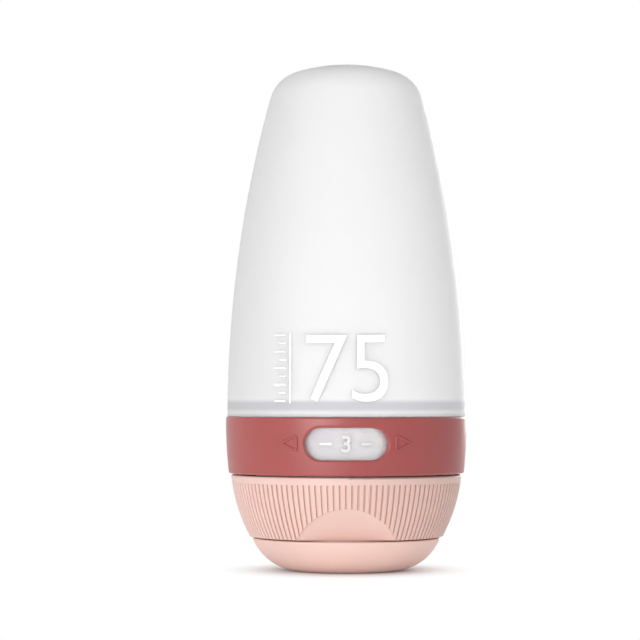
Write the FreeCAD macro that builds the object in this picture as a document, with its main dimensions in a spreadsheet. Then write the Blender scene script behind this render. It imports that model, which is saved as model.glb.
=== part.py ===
import FreeCAD, Part
import math
import os
from collections import namedtuple

import Sketcher
from FreeCAD import Placement, Rotation, Vector

# Squeezable silicone travel bottle that stands on its flip lid. Millimetres, +Z up, origin in the
# middle of the lid's foot. The window and the thumb scoop face -Y, the lid's hinge is at the back.
SIZES = {
    # heights of the stack, from the lid's foot to the crown of the bottle
    "lid_height": 6.75,
    "lid_gap": 0.3,
    "cap_height": 12.75,
    "ring_gap": 0.3,
    "ring_height": 11.7,
    "body_gap": 0.1,
    "body_height": 73.1,
    # silicone bottle and its neck sleeve
    "body_radius": 24.7,
    "body_wall": 1.8,
    "flare_radius": 252.0,
    "corner_radius": 7.5,
    "crown_radius": 36.0,
    "foot_round": 0.3,
    "shoulder_thickness": 2.6,
    "shoulder_slope": 2.0,
    "sleeve_step": 1.5,
    "sleeve_wall": 1.8,
    # rigid neck pushed into the sleeve
    "insert_height": 10.0,
    "insert_wall": 1.6,
    "bead_rise": 5.6,
    "bead_half": 0.6,
    "bead_radius": 0.7,
    "flange_overhang": 0.4,
    "flange_thickness": 0.8,
    "flange_lift": 0.25,
    "neck_step": 7.7,
    "neck_wall": 1.6,
    "funnel_foot": 1.0,
    "funnel_rise": 3.4,
    # selector ring
    "ring_proud": 0.3,
    "ring_taper": 0.55,
    "ring_belly": 96.0,
    "ring_edge": 0.4,
    "ring_foot_round": 0.4,
    "ring_clearance": 0.2,
    "window_length": 16.4,
    "window_height": 6.45,
    "window_lift": 0.55,
    "window_round": 0.5,
    # screw cap
    "cap_step": 0.55,
    "cap_taper": 3.7,
    "cap_belly": 34.0,
    "cap_edge": 0.35,
    "cap_band": 1.55,
    "rib_pitch_angle": 3.0,
    "rib_gap_angle": 1.0,
    "rib_depth": 0.45,
    "thread_room": 1.4,
    "skirt_wall": 1.7,
    "hollow_depth": 5.1,
    "hollow_wall": 1.9,
    "hollow_draft": 0.5,
    "deck_thickness": 2.35,
    "spigot_clearance": 1.25,
    "spigot_wall": 1.4,
    "spigot_depth": 1.45,
    "scoop_depth": 3.2,
    "scoop_angle": 38.3,
    "pad_inset": 0.15,
    "pad_height": 6.45,
    # nozzle in the cap's deck, with its valve, retainer and gasket
    "nozzle_side": 1.6,
    "nozzle_taper": 0.6,
    "nozzle_length": 2.6,
    "nozzle_wall": 0.9,
    "orifice_radius": 2.4,
    "chamber_radius": 3.6,
    "seat_width": 3.0,
    "seat_depth": 1.55,
    "boss_wall": 1.6,
    "boss_height": 2.0,
    "valve_clearance": 0.15,
    "valve_flange": 1.3,
    "valve_wall": 0.7,
    "valve_dish": 0.4,
    "slit_length": 3.6,
    "slit_width": 0.2,
    "retainer_height": 1.9,
    "retainer_chamfer": 0.5,
    "gasket_overlap": 1.1,
    "gasket_thickness": 1.4,
    "gasket_clearance": 0.3,
    # flip lid and the stopper on its post
    "lid_flare": 9.45,
    "lid_corner_radius": 10.0,
    "lid_corner_angle": 45.0,
    "lid_flank_radius": 10.9,
    "lid_step": 0.8,
    "lid_rim_width": 2.4,
    "lid_edge": 0.25,
    "lid_wall": 1.6,
    "post_radius": 1.5,
    "post_height": 1.4,
    "plug_radius": 3.4,
    "plug_clearance": 0.2,
    "plug_entry": 0.3,
    "plug_gap": 0.3,
    # lid hinge
    "hinge_inset": 0.6,
    "barrel_radius": 1.5,
    "knuckle_half": 2.8,
    "ear_width": 2.7,
    "ear_rise": 4.0,
    "hinge_clearance": 0.3,
    "web_depth": 2.3,
    "web_height": 2.7,
    "pin_radius": 0.75,
    "pin_clearance": 0.05,
    "pin_recess": 0.2,
    # how far a cutting outline reaches past the face that it cuts
    "cut_margin": 1.0,
}

# Sizes that follow from others, so that a piece keeps its fit when the one that it meets changes
FITTED = {
    # outside, from the bottle's side down to the lid
    "ring_radius": "body_radius + ring_proud",
    "ring_foot_radius": "ring_radius - ring_taper",
    "cap_radius": "ring_foot_radius - cap_step",
    "cap_foot_radius": "cap_radius - cap_taper",
    "lid_rim_radius": "cap_foot_radius - lid_step",
    "lid_foot_radius": "lid_rim_radius - lid_flare",
    "hinge_reach": "cap_foot_radius - hinge_inset",
    # inside, from the sleeve to the neck and the cap that screws on it
    "sleeve_radius": "body_radius - sleeve_step",
    "flange_radius": "sleeve_radius + flange_overhang",
    "neck_radius": "sleeve_radius - neck_step",
    "skirt_bore": "neck_radius + thread_room",
    "gasket_bore": "neck_radius - neck_wall - gasket_overlap",
    "spigot_radius": "lid_rim_radius - lid_rim_width - spigot_clearance",
    # nozzle, from the chamber that the valve hangs in
    "nozzle_radius": "chamber_radius + nozzle_side",
    "nozzle_tip_radius": "nozzle_radius - nozzle_taper",
    "seat_radius": "chamber_radius + seat_width",
    "plug_tip_radius": "orifice_radius - plug_clearance",
    # the scoop is cut deeper than the ribs, and as wide as their floors allow at the cap's foot
    "scoop_foot": "cap_foot_radius - scoop_depth",
    "pad_half_width": "sqrt((cap_foot_radius - rib_depth) ^ 2 - scoop_foot ^ 2) - pad_inset",
}

# Heights that several pieces share, as expressions on the sheet's values
CAP_FOOT = "(size.lid_height + size.lid_gap)"
CAP_TOP = f"({CAP_FOOT} + size.cap_height)"
RING_FOOT = f"({CAP_TOP} + size.ring_gap)"
RING_TOP = f"({RING_FOOT} + size.ring_height)"
BODY_FOOT = f"({RING_TOP} + size.body_gap)"
BODY_TOP = f"({BODY_FOOT} + size.body_height)"
FLANGE_FOOT = f"({RING_FOOT} + size.flange_lift)"
FLANGE_TOP = f"({FLANGE_FOOT} + size.flange_thickness)"
BEAD_MIDDLE = f"({FLANGE_TOP} + size.bead_rise)"
DECK_TOP = f"({CAP_FOOT} + size.deck_thickness)"
NECK_END = f"({DECK_TOP} + size.gasket_thickness)"
NOZZLE_TIP = f"({CAP_FOOT} - size.nozzle_length)"
CHAMBER_FLOOR = f"({NOZZLE_TIP} + size.nozzle_wall)"
SEAT_FLOOR = f"({DECK_TOP} - size.seat_depth)"
VALVE_TOP = f"({SEAT_FLOOR} + size.valve_flange)"
RIB_TOP = f"({CAP_TOP} - size.cap_band)"
HINGE_HEIGHT = "(size.lid_height + size.lid_gap / 2)"

# The ribbed part of the cap's turn, in whole ribs, which leaves the hinge's ears on a plain wall
EAR_REACH = "(size.knuckle_half + size.hinge_clearance + size.ear_width)"
PLAIN_HALF_ANGLE = f"(asin({EAR_REACH} / size.cap_foot_radius) / 1 deg + size.rib_gap_angle)"
RIB_STEPS = f"floor((360 - 2 * {PLAIN_HALF_ANGLE}) / size.rib_pitch_angle)"
RIBBED_ANGLE = f"({RIB_STEPS} * size.rib_pitch_angle)"
FIRST_QUARTER = 90

# Radii that mating pieces share
SLEEVE_BORE = "(size.sleeve_radius - size.sleeve_wall)"
INSERT_BORE = f"({SLEEVE_BORE} - size.insert_wall)"
SEAT_FIT = "(size.seat_radius - size.valve_clearance)"
VALVE_SKIRT = "(size.chamber_radius - size.valve_clearance)"

# An edge of an outline that is an arc, bending left or right on the way to the next corner
Bend = namedtuple("Bend", "radius left")

doc = FreeCAD.newDocument("travel_bottle")
sheet = doc.addObject("Spreadsheet::Sheet", "size")
formulas = {alias: f"={formula}" for alias, formula in FITTED.items()}
for row, (alias, entry) in enumerate({**SIZES, **formulas}.items(), start=1):
    sheet.set(f"A{row}", alias)
    sheet.set(f"B{row}", str(entry))
    sheet.setAlias(f"B{row}", alias)
doc.recompute()


def value(expression):
    return float(sheet.evalExpression(expression))


def new_body(label):
    body = doc.addObject("PartDesign::Body", label)
    body.Label = label
    return body


def origin_feature(body, role):
    return next(part for part in body.Origin.OriginFeatures if part.Role == role)


def new_sketch(body, name, plane, offset=None):
    sketch = body.newObject("Sketcher::SketchObject", name)
    sketch.AttachmentSupport = [(origin_feature(body, plane), "")]
    sketch.MapMode = "FlatFace"
    if offset:
        sketch.setExpression(".AttachmentOffset.Base.z", offset)
    return sketch


def constrain(sketch, expression, *arguments):
    index = sketch.addConstraint(Sketcher.Constraint(*arguments, value(expression)))
    sketch.setExpression(f"Constraints[{index}]", expression)


def pin_point(sketch, geometry, end, across, up):
    if across == "0":
        sketch.addConstraint(Sketcher.Constraint("PointOnObject", geometry, end, -2))
    else:
        constrain(sketch, across, "DistanceX", -1, 1, geometry, end)
    if up == "0":
        sketch.addConstraint(Sketcher.Constraint("PointOnObject", geometry, end, -1))
    else:
        constrain(sketch, up, "DistanceY", -1, 1, geometry, end)


def arc_centre(start, end, radius, left):
    half = (end - start) * 0.5
    side = Vector(-half.y, half.x, 0).normalize()
    rise = math.sqrt(radius ** 2 - half.Length ** 2)
    return start + half + side * (rise if left else -rise)


def arc_geometry(start, end, centre, left):
    first, last = (start, end) if left else (end, start)
    turns = [math.atan2(point.y - centre.y, point.x - centre.x) for point in (first, last)]
    circle = Part.Circle(centre, Vector(0, 0, 1), (start - centre).Length)
    return Part.ArcOfCircle(circle, *turns)


def add_edge(sketch, start, end, bend):
    # a straight edge, or an arc where there is a bend, with the numbers of its first and last points
    if not bend:
        return sketch.addGeometry(Part.LineSegment(start, end)), 1, 2
    centre = arc_centre(start, end, value(bend.radius), bend.left)
    geometry = sketch.addGeometry(arc_geometry(start, end, centre, bend.left))
    constrain(sketch, bend.radius, "Radius", geometry)
    return (geometry, 1, 2) if bend.left else (geometry, 2, 1)


def at(corner):
    across, up = corner
    return Vector(value(across), value(up), 0)


def meet(sketch, *ends):
    sketch.addConstraint(Sketcher.Constraint("Coincident", *ends))


def outline(sketch, items):
    # closed outline of corners, each (across, up), with a Bend between two corners joined by an arc
    corners = []
    bends = {}
    for item in items:
        if isinstance(item, Bend):
            bends[len(corners) - 1] = item
        else:
            corners.append(item)
    edges = []
    for index, corner in enumerate(corners):
        following = corners[(index + 1) % len(corners)]
        edges.append(add_edge(sketch, at(corner), at(following), bends.get(index)))
    for (geometry, first, last), following, corner in zip(edges, edges[1:] + edges[:1], corners):
        meet(sketch, geometry, last, following[0], following[1])
        pin_point(sketch, geometry, first, *corner)


def join(sketch, begin, items, finish):
    # open run of corners and bends from one drawn point to another, each given as its end and its place
    last, previous = begin
    bend = None
    for item in items:
        if isinstance(item, Bend):
            bend = item
            continue
        geometry, first, end = add_edge(sketch, previous, at(item), bend)
        meet(sketch, *last, geometry, first)
        pin_point(sketch, geometry, end, *item)
        last, previous, bend = (geometry, end), at(item), None
    geometry, first, end = add_edge(sketch, previous, finish[1], bend)
    meet(sketch, *last, geometry, first)
    meet(sketch, geometry, end, *finish[0])


def circle_outline(sketch, across, up, radius):
    centre = Vector(value(across), value(up), 0)
    geometry = sketch.addGeometry(Part.Circle(centre, Vector(0, 0, 1), value(radius)))
    pin_point(sketch, geometry, 3, across, up)
    constrain(sketch, radius, "Radius", geometry)


def revolve(body, sketch, name):
    feature = body.newObject("PartDesign::Revolution", name)
    feature.Profile = sketch
    feature.ReferenceAxis = (sketch, ["V_Axis"])
    feature.Angle = 360
    return feature


def extrude(body, kind, sketch, name, length, symmetric=False, backwards=False):
    feature = body.newObject(f"PartDesign::{kind}", name)
    feature.Profile = sketch
    feature.setExpression("Length", length)
    feature.SideType = "Symmetric" if symmetric else "One side"
    feature.Reversed = backwards
    return feature


def turned_body(label, items):
    body = new_body(label)
    sketch = new_sketch(body, f"{label}_profile", "XZ_Plane")
    outline(sketch, items)
    revolve(body, sketch, f"{label}_turned")
    return body


# Silicone bottle: flared side, rounded corner and shallow crown, one wall thick, on a neck sleeve
def make_bottle_body():
    body = new_body("bottle_body")
    sketch = new_sketch(body, "bottle_profile", "XZ_Plane")
    wall = value("size.body_wall")
    side, corner, crown = (value(f"size.{name}_radius") for name in ("flare", "corner", "crown"))
    start = Vector(value("size.body_radius"), value(f"{BODY_FOOT} + size.foot_round"), 0)
    apex = Vector(0, value(BODY_TOP), 0)
    side_centre = start - Vector(side, 0, 0)
    crown_centre = apex - Vector(0, crown, 0)
    # the corner's centre, where the circles of its reach from the side and from the crown cross
    span = crown_centre - side_centre
    along = ((side - corner) ** 2 - (crown - corner) ** 2 + span.Length ** 2) / (2 * span.Length)
    aside = math.sqrt((side - corner) ** 2 - along ** 2)
    ahead = Vector(span).normalize()
    corner_centre = side_centre + ahead * along + Vector(-ahead.y, ahead.x, 0) * aside

    def ray(centre, towards, radius):
        return centre + (towards - centre).normalize() * radius

    def shell(depth, first, last):
        shoulder = ray(side_centre, corner_centre, side - depth)
        brow = ray(crown_centre, corner_centre, crown - depth)
        arcs = ((first, shoulder, side_centre), (shoulder, brow, corner_centre), (brow, last, crown_centre))
        ids = [sketch.addGeometry(arc_geometry(begin, end, centre, True)) for begin, end, centre in arcs]
        for lower, upper in zip(ids, ids[1:]):
            sketch.addConstraint(Sketcher.Constraint("Tangent", lower, 2, upper, 1))
        return ids

    outer = shell(0, start, apex)
    cavity_foot = f"{BODY_FOOT} + size.shoulder_thickness"
    inner_start = Vector(0, value(f"{cavity_foot} + size.shoulder_slope"), 0)
    inner_rise = inner_start.y - side_centre.y
    inner_start.x = side_centre.x + math.sqrt((side - wall) ** 2 - inner_rise ** 2)
    inner_apex = apex - Vector(0, wall, 0)
    inner = shell(wall, inner_start, inner_apex)

    pin_point(sketch, outer[0], 1, "size.body_radius", f"{BODY_FOOT} + size.foot_round")
    constrain(sketch, f"{BODY_FOOT} + size.foot_round", "DistanceY", -1, 1, outer[0], 3)
    for geometry, radius in zip(outer, ("flare", "corner", "crown")):
        constrain(sketch, f"size.{radius}_radius", "Radius", geometry)
    sketch.addConstraint(Sketcher.Constraint("PointOnObject", outer[2], 3, -2))
    pin_point(sketch, outer[2], 2, "0", BODY_TOP)
    for out_arc, in_arc in zip(outer, inner):
        meet(sketch, in_arc, 3, out_arc, 3)
    constrain(sketch, f"{cavity_foot} + size.shoulder_slope", "DistanceY", -1, 1, inner[0], 1)
    pin_point(sketch, inner[2], 2, "0", f"{BODY_TOP} - size.body_wall")
    join(sketch, ((outer[2], 2), apex), [], ((inner[2], 2), inner_apex))
    # shoulder, sleeve with the groove for the neck's bead, and the foot's rounded lip
    join(sketch, ((inner[0], 1), inner_start), [
        (SLEEVE_BORE, cavity_foot),
        (SLEEVE_BORE, f"{BEAD_MIDDLE} + size.bead_half"),
        Bend("size.bead_radius", False),
        (SLEEVE_BORE, f"{BEAD_MIDDLE} - size.bead_half"),
        (SLEEVE_BORE, FLANGE_TOP),
        ("size.sleeve_radius", FLANGE_TOP),
        ("size.sleeve_radius", BODY_FOOT),
        ("size.body_radius - size.foot_round", BODY_FOOT),
        Bend("size.foot_round", True),
    ], ((outer[0], 1), start))
    revolve(body, sketch, "bottle_turned")
    return body


# Rigid neck: sleeve with a bead that bites into the silicone, a flange that keeps the ring on, a funnel
# down to the bore, and the plain root of the screw thread
def make_neck_insert():
    bore = "(size.neck_radius - size.neck_wall)"
    funnel_foot = f"{FLANGE_FOOT} + size.funnel_foot"
    return turned_body("neck_insert", [
        (bore, NECK_END),
        ("size.neck_radius", NECK_END),
        ("size.neck_radius", FLANGE_FOOT),
        ("size.flange_radius", FLANGE_FOOT),
        ("size.flange_radius", FLANGE_TOP),
        (SLEEVE_BORE, FLANGE_TOP),
        (SLEEVE_BORE, f"{BEAD_MIDDLE} - size.bead_half"),
        Bend("size.bead_radius", True),
        (SLEEVE_BORE, f"{BEAD_MIDDLE} + size.bead_half"),
        (SLEEVE_BORE, f"{FLANGE_TOP} + size.insert_height"),
        (INSERT_BORE, f"{FLANGE_TOP} + size.insert_height"),
        (INSERT_BORE, f"{funnel_foot} + size.funnel_rise"),
        (bore, funnel_foot),
    ])


# Selector ring: bellied collar with a counterbore over the neck's flange and a stadium window in front
def make_selector_ring():
    bore = "(size.sleeve_radius + size.ring_clearance)"
    counterbore = "(size.flange_radius + size.ring_clearance)"
    step = f"({FLANGE_TOP} + size.ring_clearance)"
    body = turned_body("selector_ring", [
        (counterbore, RING_FOOT),
        ("size.ring_foot_radius - size.ring_foot_round", RING_FOOT),
        Bend("size.ring_foot_round", True),
        ("size.ring_foot_radius", f"{RING_FOOT} + size.ring_foot_round"),
        Bend("size.ring_belly", True),
        ("size.ring_radius", f"{RING_TOP} - size.ring_edge"),
        Bend("size.ring_edge", True),
        ("size.ring_radius - size.ring_edge", RING_TOP),
        (bore, RING_TOP),
        (bore, step),
        (counterbore, step),
    ])
    window = new_sketch(body, "window_outline", "XZ_Plane", "size.ring_radius + size.cut_margin")
    middle = f"({RING_FOOT} + size.ring_height / 2 + size.window_lift)"
    half_height = "(size.window_height / 2)"
    straight = f"(size.window_length / 2 - {half_height})"
    outline(window, [
        (f"-{straight}", f"{middle} - {half_height}"),
        (straight, f"{middle} - {half_height}"),
        Bend(half_height, True),
        (f"{straight} + {half_height}", middle),
        Bend(half_height, True),
        (straight, f"{middle} + {half_height}"),
        (f"-{straight}", f"{middle} + {half_height}"),
        Bend(half_height, True),
        (f"-{straight} - {half_height}", middle),
        Bend(half_height, True),
    ])
    cut = extrude(body, "Pocket", window, "window", "size.ring_radius + size.cut_margin")
    doc.recompute()
    # soften the window's outer rim: the edges in front that lie on the ring's outer face
    rim_radius = value("(size.ring_foot_radius + size.sleeve_radius + size.ring_clearance) / 2")
    lowest = value(f"{RING_FOOT} + size.ring_foot_round")
    highest = value(f"{RING_TOP} - size.ring_edge")
    rim = []
    for index, edge in enumerate(cut.Shape.Edges, start=1):
        point = edge.valueAt((edge.FirstParameter + edge.LastParameter) / 2)
        on_front = point.y < 0 and lowest < point.z < highest
        if on_front and math.hypot(point.x, point.y) > rim_radius:
            rim.append(f"Edge{index}")
    fillet = body.newObject("PartDesign::Fillet", "window_rim")
    fillet.Base = (cut, rim)
    fillet.setExpression("Radius", "size.window_round")
    return body


# Screw cap: bellied wall with a moulding hollow, threaded bore's plain root, deck with the nozzle and
# the valve's seat, and a spigot that the lid closes over
def cap_blank():
    hollow_floor = f"({CAP_TOP} - size.hollow_depth)"
    hollow_outer = "(size.cap_radius - size.hollow_wall)"
    skirt = "(size.skirt_bore + size.skirt_wall)"
    boss = "(size.seat_radius + size.boss_wall)"
    boss_top = f"({DECK_TOP} + size.boss_height)"
    spigot_end = f"({CAP_FOOT} - size.spigot_depth)"
    spigot_bore = "(size.spigot_radius - size.spigot_wall)"
    return turned_body("screw_cap", [
        ("size.orifice_radius", NOZZLE_TIP),
        ("size.nozzle_tip_radius", NOZZLE_TIP),
        ("size.nozzle_radius", CAP_FOOT),
        (spigot_bore, CAP_FOOT),
        (spigot_bore, spigot_end),
        ("size.spigot_radius", spigot_end),
        ("size.spigot_radius", CAP_FOOT),
        ("size.cap_foot_radius - size.cap_edge", CAP_FOOT),
        Bend("size.cap_edge", True),
        ("size.cap_foot_radius", f"{CAP_FOOT} + size.cap_edge"),
        Bend("size.cap_belly", True),
        ("size.cap_radius", f"{CAP_TOP} - size.cap_edge"),
        Bend("size.cap_edge", True),
        ("size.cap_radius - size.cap_edge", CAP_TOP),
        (hollow_outer, CAP_TOP),
        (f"{hollow_outer} - size.hollow_draft", hollow_floor),
        (skirt, hollow_floor),
        (skirt, CAP_TOP),
        ("size.skirt_bore", CAP_TOP),
        ("size.skirt_bore", DECK_TOP),
        (boss, DECK_TOP),
        (boss, boss_top),
        ("size.seat_radius", boss_top),
        ("size.seat_radius", SEAT_FLOOR),
        ("size.chamber_radius", SEAT_FLOOR),
        ("size.chamber_radius", CHAMBER_FLOOR),
        ("size.orifice_radius", CHAMBER_FLOOR),
    ])


# Grip: narrow grooves between flat ribs, from the plain band at the cap's top down through its foot, all
# the way round from one side of the hinge to the other
def cut_ribs(body):
    sketch = new_sketch(body, "rib_gap_profile", "XZ_Plane")
    sketch.AttachmentOffset = Placement(Vector(), Rotation(Vector(0, 1, 0), FIRST_QUARTER))
    first_gap = f"{FIRST_QUARTER} + (360 - {RIBBED_ANGLE}) / 2"
    sketch.setExpression(".AttachmentOffset.Rotation.Angle", first_gap)
    foot = Vector(value("size.cap_foot_radius"), value(f"{CAP_FOOT} + size.cap_edge"), 0)
    top = Vector(value("size.cap_radius"), value(f"{CAP_TOP} - size.cap_edge"), 0)
    centre = arc_centre(foot, top, value("size.cap_belly"), True)
    wall = sketch.addGeometry(arc_geometry(foot, top, centre, True), True)
    pin_point(sketch, wall, 1, "size.cap_foot_radius", f"{CAP_FOOT} + size.cap_edge")
    pin_point(sketch, wall, 2, "size.cap_radius", f"{CAP_TOP} - size.cap_edge")
    constrain(sketch, "size.cap_belly", "Radius", wall)

    floor_radius = "size.cap_belly - size.rib_depth"
    levels = (f"{CAP_FOOT} - size.cut_margin", RIB_TOP)
    clear = "size.cap_radius + size.cut_margin"
    ends = []
    for level in levels:
        rise = value(level) - centre.y
        ends.append(Vector(centre.x + math.sqrt(value(floor_radius) ** 2 - rise ** 2), value(level), 0))
    floor = sketch.addGeometry(arc_geometry(*ends, centre, True))
    corners = [Vector(value(clear), value(level), 0) for level in reversed(levels)]
    path = [ends[1], *corners, ends[0]]
    lines = [sketch.addGeometry(Part.LineSegment(a, b)) for a, b in zip(path, path[1:])]
    loop = [floor, *lines]
    for this, following in zip(loop, loop[1:] + loop[:1]):
        meet(sketch, this, 2, following, 1)
    meet(sketch, floor, 3, wall, 3)
    constrain(sketch, floor_radius, "Radius", floor)
    for end, level in zip((1, 2), levels):
        constrain(sketch, level, "DistanceY", -1, 1, floor, end)
    for line, level in zip(lines, reversed(levels)):
        pin_point(sketch, line, 2, clear, level)

    gap = body.newObject("PartDesign::Groove", "rib_gap")
    gap.Profile = sketch
    gap.ReferenceAxis = (sketch, ["V_Axis"])
    gap.setExpression("Angle", "size.rib_gap_angle")
    gap.Midplane = True
    ribs = body.newObject("PartDesign::PolarPattern", "ribs")
    ribs.Originals = [gap]
    ribs.Axis = (origin_feature(body, "Z_Axis"), [""])
    ribs.setExpression("Angle", RIBBED_ANGLE)
    ribs.setExpression("Occurrences", f"{RIB_STEPS} + 1")
    body.Tip = ribs


# Thumb scoop: a smooth half-moon pad let into the ribs, cut back by a sloping face under the lid's lip
def cut_scoop(body):
    face = body.newObject("PartDesign::Plane", "scoop_face")
    face.AttachmentSupport = [(origin_feature(body, "XZ_Plane"), "")]
    face.MapMode = "FlatFace"
    face.AttachmentOffset = Placement(Vector(), Rotation(Vector(1, 0, 0), value("size.scoop_angle")))
    face.setExpression(".AttachmentOffset.Base.y", CAP_FOOT)
    face.setExpression(".AttachmentOffset.Base.z", "size.scoop_foot")
    face.setExpression(".AttachmentOffset.Rotation.Angle", "size.scoop_angle")

    pad = new_sketch(body, "pad_outline", "XZ_Plane", "size.cap_radius + size.cut_margin")
    pad_radius = "(size.pad_half_width ^ 2 + size.pad_height ^ 2) / (2 * size.pad_height)"
    foot = f"{CAP_FOOT} - size.cut_margin"
    outline(pad, [
        ("-size.pad_half_width", foot),
        ("size.pad_half_width", foot),
        ("size.pad_half_width", CAP_FOOT),
        Bend(pad_radius, True),
        ("0", f"{CAP_FOOT} + size.pad_height"),
        Bend(pad_radius, True),
        ("-size.pad_half_width", CAP_FOOT),
    ])
    scoop = body.newObject("PartDesign::Pocket", "thumb_scoop")
    scoop.Profile = pad
    scoop.Type = "UpToFace"
    scoop.UpToFace = (face, [""])


# Hinge ears either side of the lid's knuckle, the pocket that the knuckle turns in, and the pin's hole
def add_ears(body):
    reach = "size.hinge_reach"
    barrel = "size.barrel_radius"
    ear_top = f"{CAP_FOOT} + size.ear_rise"
    ear = new_sketch(body, "ear_outline", "YZ_Plane", "size.knuckle_half + size.hinge_clearance")
    outline(ear, [
        (f"{reach} - {barrel}", HINGE_HEIGHT),
        Bend(barrel, True),
        (reach, f"{HINGE_HEIGHT} - {barrel}"),
        Bend(barrel, True),
        (f"{reach} + {barrel}", HINGE_HEIGHT),
        (f"{reach} + {barrel}", ear_top),
        (f"{reach} - {barrel}", ear_top),
    ])
    pad = extrude(body, "Pad", ear, "ear", "size.ear_width")
    pair = body.newObject("PartDesign::Mirrored", "ear_pair")
    pair.Originals = [pad]
    pair.MirrorPlane = (origin_feature(body, "YZ_Plane"), [""])
    body.Tip = pair

    pocket = new_sketch(body, "knuckle_pocket_outline", "YZ_Plane")
    circle_outline(pocket, reach, HINGE_HEIGHT, "size.barrel_radius + size.hinge_clearance")
    knuckle_room = "2 * (size.knuckle_half + size.hinge_clearance)"
    extrude(body, "Pocket", pocket, "knuckle_pocket", knuckle_room, symmetric=True)

    hole = new_sketch(body, "pin_hole_outline", "YZ_Plane")
    circle_outline(hole, reach, HINGE_HEIGHT, "size.pin_radius")
    extrude(body, "Pocket", hole, "pin_hole", f"2 * {EAR_REACH}", symmetric=True)


def make_screw_cap():
    body = cap_blank()
    add_ears(body)
    cut_ribs(body)
    cut_scoop(body)
    return body


# Flip lid: shallow dish with a flat foot, a post for the stopper, a rim notched round the cap's ears and
# a hinge knuckle
def make_flip_lid():
    inner_corner = "(size.lid_corner_radius - size.lid_wall)"
    turn = "size.lid_corner_angle"
    body = turned_body("flip_lid", [
        ("0", "0"),
        ("size.lid_foot_radius", "0"),
        Bend("size.lid_corner_radius", True),
        (f"size.lid_foot_radius + size.lid_corner_radius * sin({turn})",
         f"size.lid_corner_radius * (1 - cos({turn}))"),
        Bend("size.lid_flank_radius", True),
        ("size.lid_rim_radius", "size.lid_height - size.lid_edge"),
        Bend("size.lid_edge", True),
        ("size.lid_rim_radius - size.lid_edge", "size.lid_height"),
        ("size.lid_rim_radius - size.lid_rim_width", "size.lid_height"),
        Bend("size.lid_flank_radius - size.lid_wall", False),
        (f"size.lid_foot_radius + {inner_corner} * sin({turn})",
         f"size.lid_corner_radius - {inner_corner} * cos({turn})"),
        Bend(inner_corner, False),
        ("size.lid_foot_radius", "size.lid_wall"),
        ("size.post_radius", "size.lid_wall"),
        ("size.post_radius", "size.lid_wall + size.post_height"),
        ("0", "size.lid_wall + size.post_height"),
    ])
    reach = "size.hinge_reach"
    barrel = "size.barrel_radius"
    room = f"({barrel} + size.hinge_clearance)"
    notch = new_sketch(body, "ear_notch_outline", "YZ_Plane")
    notch_floor = f"{HINGE_HEIGHT} - {room}"
    notch_top = "size.lid_height + size.cut_margin"
    outline(notch, [
        (f"{reach} - {room}", notch_floor),
        (f"{reach} + {room}", notch_floor),
        (f"{reach} + {room}", notch_top),
        (f"{reach} - {room}", notch_top),
    ])
    notch_width = f"2 * ({EAR_REACH} + size.hinge_clearance)"
    extrude(body, "Pocket", notch, "ear_notch", notch_width, symmetric=True)

    knuckle = new_sketch(body, "knuckle_outline", "YZ_Plane")
    outline(knuckle, [
        (f"{reach} - size.web_depth", "size.lid_height"),
        (f"{reach} - size.web_depth", "size.lid_height - size.web_height"),
        (reach, f"{HINGE_HEIGHT} - {barrel}"),
        Bend(barrel, True),
        (f"{reach} + {barrel}", HINGE_HEIGHT),
        Bend(barrel, True),
        (reach, f"{HINGE_HEIGHT} + {barrel}"),
        Bend(barrel, True),
        (f"{reach} - {barrel}", HINGE_HEIGHT),
        (f"{reach} - {barrel}", "size.lid_height"),
    ])
    extrude(body, "Pad", knuckle, "knuckle", "2 * size.knuckle_half", symmetric=True)

    bore = new_sketch(body, "knuckle_bore_outline", "YZ_Plane")
    circle_outline(bore, reach, HINGE_HEIGHT, "size.pin_radius + size.pin_clearance")
    extrude(body, "Pocket", bore, "knuckle_bore", "2 * size.knuckle_half", symmetric=True)
    return body


def make_hinge_pin():
    body = new_body("hinge_pin")
    sketch = new_sketch(body, "pin_outline", "YZ_Plane")
    circle_outline(sketch, "size.hinge_reach", HINGE_HEIGHT, "size.pin_radius")
    extrude(body, "Pad", sketch, "pin", f"2 * ({EAR_REACH} - size.pin_recess)", symmetric=True)
    return body


# Silicone valve: flange in the deck's seat, a skirt down the nozzle and a dished head with a cross slit
def make_dispensing_valve():
    head = f"({CHAMBER_FLOOR} + size.valve_clearance)"
    inner = f"({VALVE_SKIRT} - size.valve_wall)"
    body = turned_body("dispensing_valve", [
        ("0", f"{head} + size.valve_dish"),
        (VALVE_SKIRT, head),
        (VALVE_SKIRT, SEAT_FLOOR),
        (SEAT_FIT, SEAT_FLOOR),
        (SEAT_FIT, VALVE_TOP),
        (inner, VALVE_TOP),
        (inner, f"{head} + size.valve_wall"),
        ("0", f"{head} + size.valve_dish + size.valve_wall"),
    ])
    for name, across, along in (("slit_across", "length", "width"), ("slit_along", "width", "length")):
        slit = new_sketch(body, f"{name}_outline", "XY_Plane")
        side, end = f"(size.slit_{across} / 2)", f"(size.slit_{along} / 2)"
        outline(slit, [(f"-{side}", f"-{end}"), (side, f"-{end}"), (side, end), (f"-{side}", end)])
        extrude(body, "Pocket", slit, name, VALVE_TOP, backwards=True)
    return body


def make_valve_retainer():
    top = f"({VALVE_TOP} + size.retainer_height)"
    return turned_body("valve_retainer", [
        ("size.chamber_radius", VALVE_TOP),
        (SEAT_FIT, VALVE_TOP),
        (SEAT_FIT, top),
        ("size.chamber_radius + size.retainer_chamfer", top),
        ("size.chamber_radius", f"{top} - size.retainer_chamfer"),
    ])


def make_cap_gasket():
    rim = "size.skirt_bore - size.gasket_clearance"
    return turned_body("cap_gasket", [
        ("size.gasket_bore", DECK_TOP),
        (rim, DECK_TOP),
        (rim, NECK_END),
        ("size.gasket_bore", NECK_END),
    ])


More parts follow.
